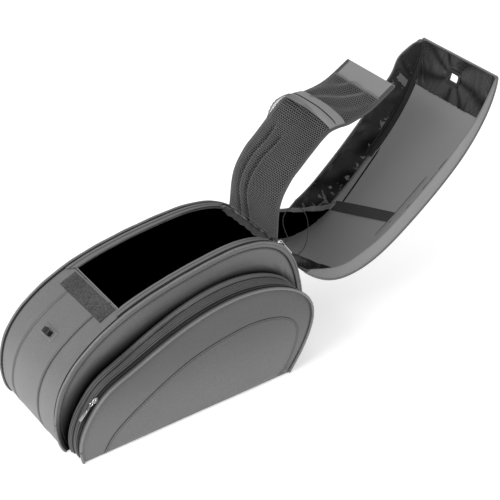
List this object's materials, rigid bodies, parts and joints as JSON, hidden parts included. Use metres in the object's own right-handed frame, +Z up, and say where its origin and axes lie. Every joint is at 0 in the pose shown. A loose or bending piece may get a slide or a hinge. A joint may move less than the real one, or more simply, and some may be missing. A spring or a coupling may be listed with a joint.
{
  "type": "motorcycle tail bag",
  "caption": "Teardrop-profile synthetic leather motorcycle tail bag with a hinged skirted lid open over its main compartment, a mesh-pocketed inner flap and zipped side pockets.",
  "frame": {"origin": "middle of the flat bottom panel", "axes": "+X towards the tall hinge end, +Z up, +Y to the far side"},
  "size_m": [0.952, 0.295, 0.4633],
  "materials": {
    "synthetic_leather": "smooth satin grain",
    "piping": "satin cord edging",
    "board": "fabric-covered stiffener",
    "nylon": "dark woven lining",
    "mesh": "open knitted mesh",
    "zip": "moulded coil on woven tape",
    "webbing": "ribbed webbing",
    "hook_loop": "hook-and-loop tape",
    "chrome": "bright plated die casting",
    "black_metal": "black lacquered steel",
    "cord": "thin braided cord"
  },
  "bodies": {
    "bag": {"bottom_panel": "synthetic_leather", "base_board": "board", "front_panel": "synthetic_leather", "gusset_strip_near": "synthetic_leather", "gusset_strip_far": "synthetic_leather", "rear_top_panel": "synthetic_leather", "tall_end_panel": "synthetic_leather", "side_panel_near": "synthetic_leather", "side_panel_far": "synthetic_leather", "edge_piping_near": "piping", "edge_piping_far": "piping", "main_zip": "zip", "opening_welts": "synthetic_leather", "liner": "nylon", "loop_tape_patch": "hook_loop", "staple_plate": "synthetic_leather", "lock_staple": "black_metal", "hinge_tape": "synthetic_leather", "pocket_gusset_near": "synthetic_leather", "pocket_zip_near": "zip", "pocket_gusset_far": "synthetic_leather", "pocket_zip_far": "zip"},
    "lid": {"lid_cover": "synthetic_leather", "lid_board": "board", "lid_skirt_near": "synthetic_leather", "lid_skirt_far": "synthetic_leather", "lid_end_liner": "nylon", "eyelet_frame": "black_metal", "lid_zip": "zip", "lid_strap": "webbing", "hinge_gusset_near": "nylon", "hinge_gusset_far": "nylon"},
    "flap_root": {"flap_panel_root": "nylon", "flap_mesh_root": "mesh"},
    "flap_lower": {"flap_panel_lower": "nylon", "flap_mesh_lower": "mesh"},
    "flap_upper": {"flap_panel_upper": "nylon", "flap_mesh_upper": "mesh", "flap_cross_zip": "zip"},
    "flap_end": {"flap_panel_end": "nylon", "flap_mesh_end": "mesh", "flap_hook_tape": "hook_loop"},
    "flap_slider": {"flap_zip_slider": "chrome"},
    "pocket_cover_near": {"pocket_rim_near": "synthetic_leather", "pocket_face_near": "synthetic_leather", "pocket_piping_near": "piping", "pocket_zip_edge_near": "zip"},
    "main_near_slider": {"main_near_slider": "chrome"},
    "main_near_pull": {"main_near_pull": "chrome", "pull_cord": "cord"},
    "pocket_near_slider": {"pocket_near_slider": "chrome"},
    "pocket_near_pull": {"pocket_near_pull": "chrome"},
    "pocket_cover_far": {"pocket_rim_far": "synthetic_leather", "pocket_face_far": "synthetic_leather", "pocket_piping_far": "piping", "pocket_zip_edge_far": "zip"},
    "main_far_slider": {"main_far_slider": "chrome"},
    "main_far_pull": {"main_far_pull": "chrome"},
    "pocket_far_slider": {"pocket_far_slider": "chrome"},
    "pocket_far_pull": {"pocket_far_pull": "chrome"}
  },
  "joints": [
    {"name": "lid_hinge", "type": "hinge", "parent": "bag", "child": "lid", "pos_m": [0.26797, 0, 0.15959], "axis": [0, 1, 0], "range_deg": [-148.8, 0], "deforming": ["hinge_gusset_near", "hinge_gusset_far"]},
    {"name": "flap_fold_root", "type": "hinge", "parent": "bag", "child": "flap_root", "pos_m": [0.21373, 0, 0.24097], "axis": [0, 1, 0], "range_deg": [-86, 0]},
    {"name": "flap_fold_lower", "type": "hinge", "parent": "flap_root", "child": "flap_lower", "pos_m": [0.23394, 0, 0.33243], "axis": [0, 1, 0], "range_deg": [-51, 0]},
    {"name": "flap_fold_upper", "type": "hinge", "parent": "flap_lower", "child": "flap_upper", "pos_m": [0.29731, 0, 0.40112], "axis": [0, 1, 0], "range_deg": [-35, 0]},
    {"name": "flap_fold_end", "type": "hinge", "parent": "flap_upper", "child": "flap_end", "pos_m": [0.38587, 0, 0.4305], "axis": [0, 1, 0], "range_deg": [-8, 0]},
    {"name": "flap_zip_slide", "type": "slide", "parent": "flap_upper", "child": "flap_slider", "axis": [0, 1, 0], "range_m": [0, 0.1]},
    {"name": "pocket_cover_near_hinge", "type": "hinge", "parent": "bag", "child": "pocket_cover_near", "pos_m": [0, -0.146, 0.0025], "axis": [1, 0, 0], "range_deg": [0, 50]},
    {"name": "main_near_slide", "type": "slide", "parent": "bag", "child": "main_near_slider", "axis": [0.7316, 0, -0.6818], "range_m": [0, 0.018]},
    {"name": "main_near_pull_hinge", "type": "hinge", "parent": "main_near_slider", "child": "main_near_pull", "pos_m": [0.22908, -0.07372, 0.23044], "axis": [0, -1, 0], "range_deg": [0, 95], "deforming": ["pull_cord"]},
    {"name": "pocket_near_slide", "type": "slide", "parent": "bag", "child": "pocket_near_slider", "axis": [0.7013, 0, 0.7129], "range_m": [0, 0.03]},
    {"name": "pocket_near_pull_hinge", "type": "hinge", "parent": "pocket_near_slider", "child": "pocket_near_pull", "pos_m": [-0.20217, -0.1345, 0.10898], "axis": [0, 1, 0], "range_deg": [0, 95]},
    {"name": "pocket_cover_far_hinge", "type": "hinge", "parent": "bag", "child": "pocket_cover_far", "pos_m": [0, 0.146, 0.0025], "axis": [-1, 0, 0], "range_deg": [0, 50]},
    {"name": "main_far_slide", "type": "slide", "parent": "bag", "child": "main_far_slider", "axis": [0.7316, 0, -0.6818], "range_m": [0, 0.018]},
    {"name": "main_far_pull_hinge", "type": "hinge", "parent": "main_far_slider", "child": "main_far_pull", "pos_m": [0.22908, 0.07372, 0.23044], "axis": [0, -1, 0], "range_deg": [0, 95]},
    {"name": "pocket_far_slide", "type": "slide", "parent": "bag", "child": "pocket_far_slider", "axis": [0.7013, 0, 0.7129], "range_m": [0, 0.03]},
    {"name": "pocket_far_pull_hinge", "type": "hinge", "parent": "pocket_far_slider", "child": "pocket_far_pull", "pos_m": [-0.20217, 0.1345, 0.10898], "axis": [0, 1, 0], "range_deg": [0, 95]}
  ],
  "couplings": [
    {"joint": "flap_fold_root", "follows": "lid_hinge", "ratio": 0.5779},
    {"joint": "flap_fold_lower", "follows": "lid_hinge", "ratio": 0.3427},
    {"joint": "flap_fold_upper", "follows": "lid_hinge", "ratio": 0.2352},
    {"joint": "flap_fold_end", "follows": "lid_hinge", "ratio": 0.0537}
  ]
}
